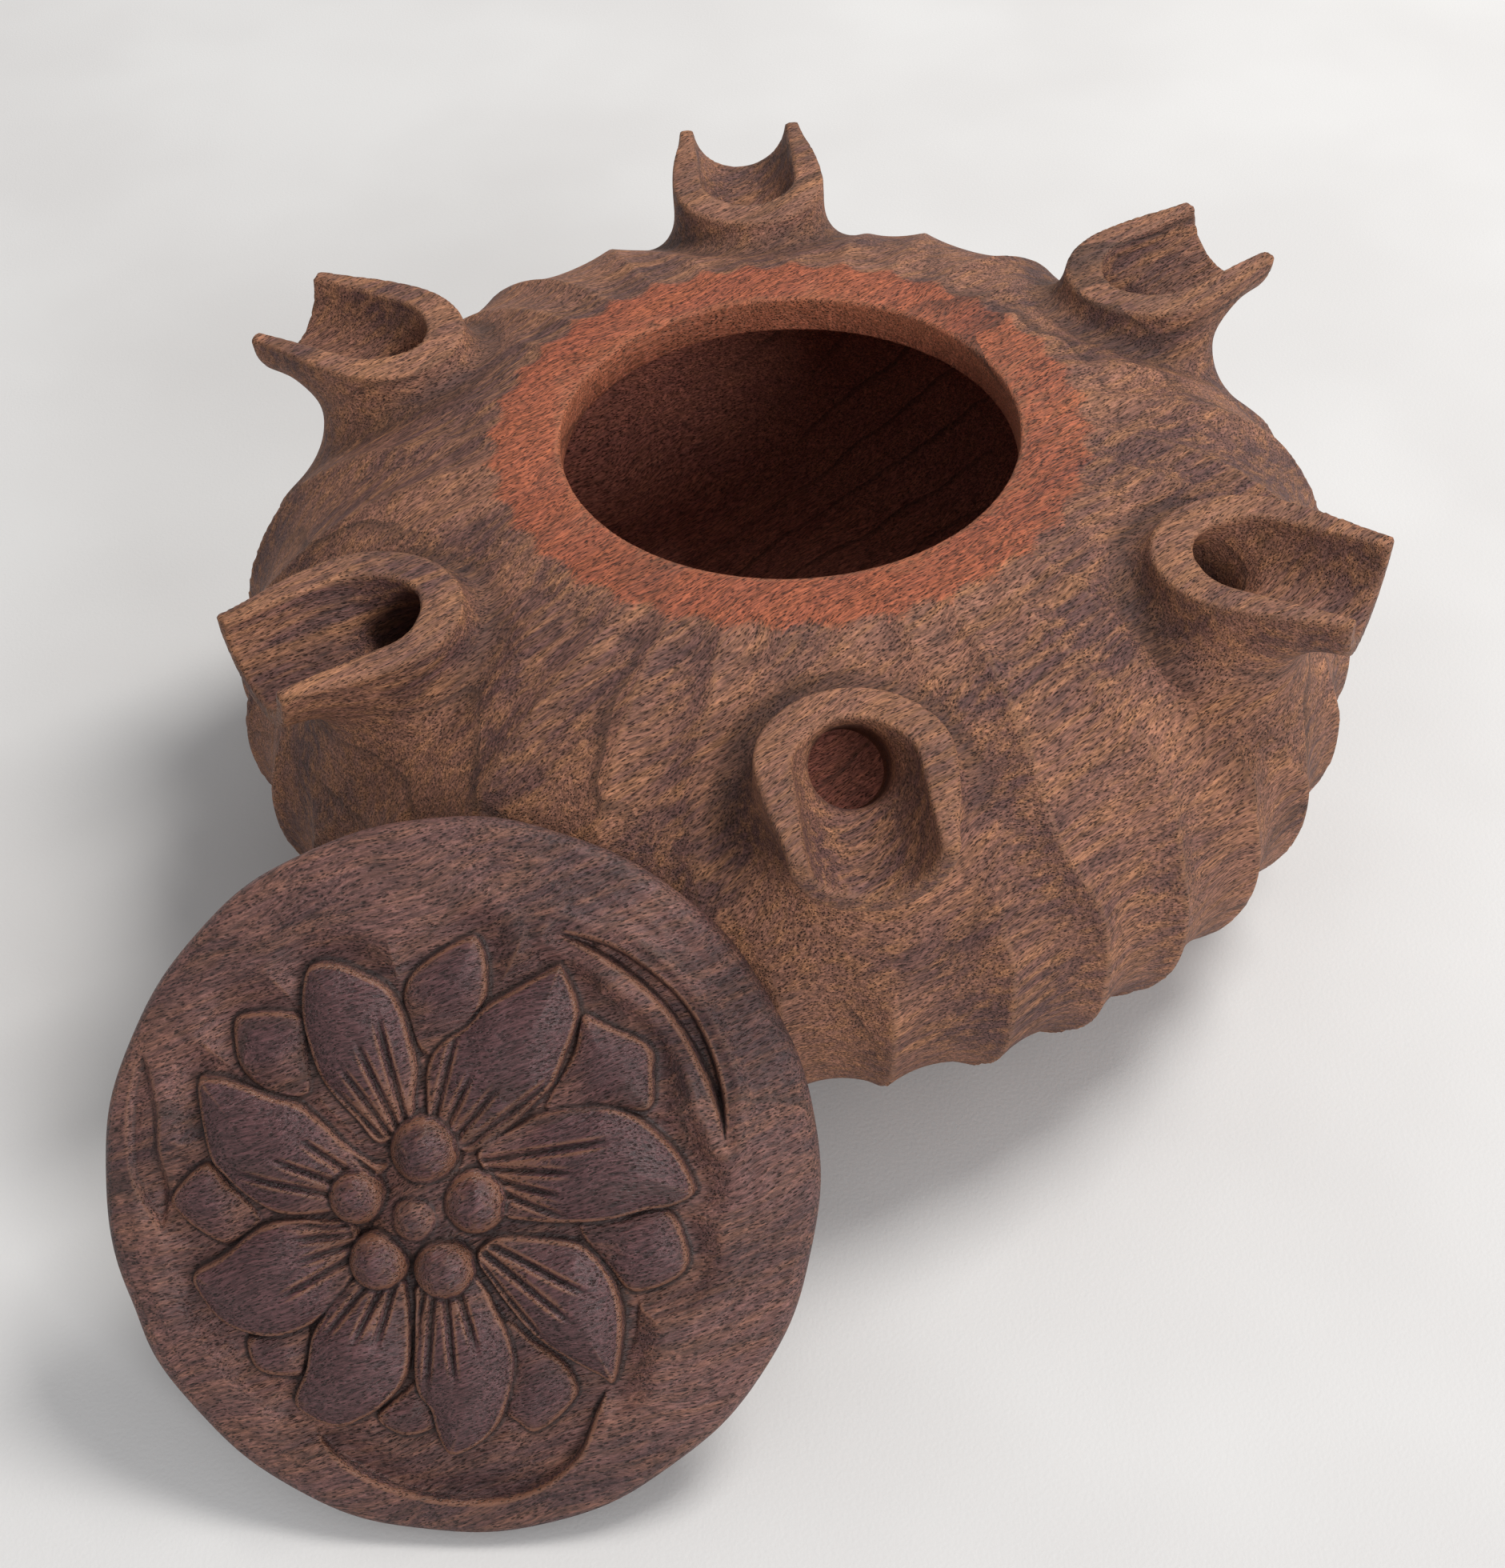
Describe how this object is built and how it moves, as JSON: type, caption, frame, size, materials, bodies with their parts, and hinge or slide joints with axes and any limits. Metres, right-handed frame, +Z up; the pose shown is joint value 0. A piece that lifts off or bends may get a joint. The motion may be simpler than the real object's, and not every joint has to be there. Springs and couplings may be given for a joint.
{
  "type": "friendship cup",
  "caption": "Carved wooden friendship cup: a squat fluted bowl with spouts round its shoulder and a flower-carved lid leaning on its flank.",
  "frame": {"origin": "centre of the flat foot, on the cup's axis, where it stands on the table", "axes": "+Z up out of the mouth, -Y towards the side on which the lid leans, +X to the right seen from there"},
  "size_m": [0.2046, 0.2591, 0.0834],
  "materials": {
    "cup_wood": "oiled",
    "lid_wood": "oiled"
  },
  "bodies": {
    "root": {"cup_body": "cup_wood", "lid": "lid_wood"}
  },
  "joints": []
}
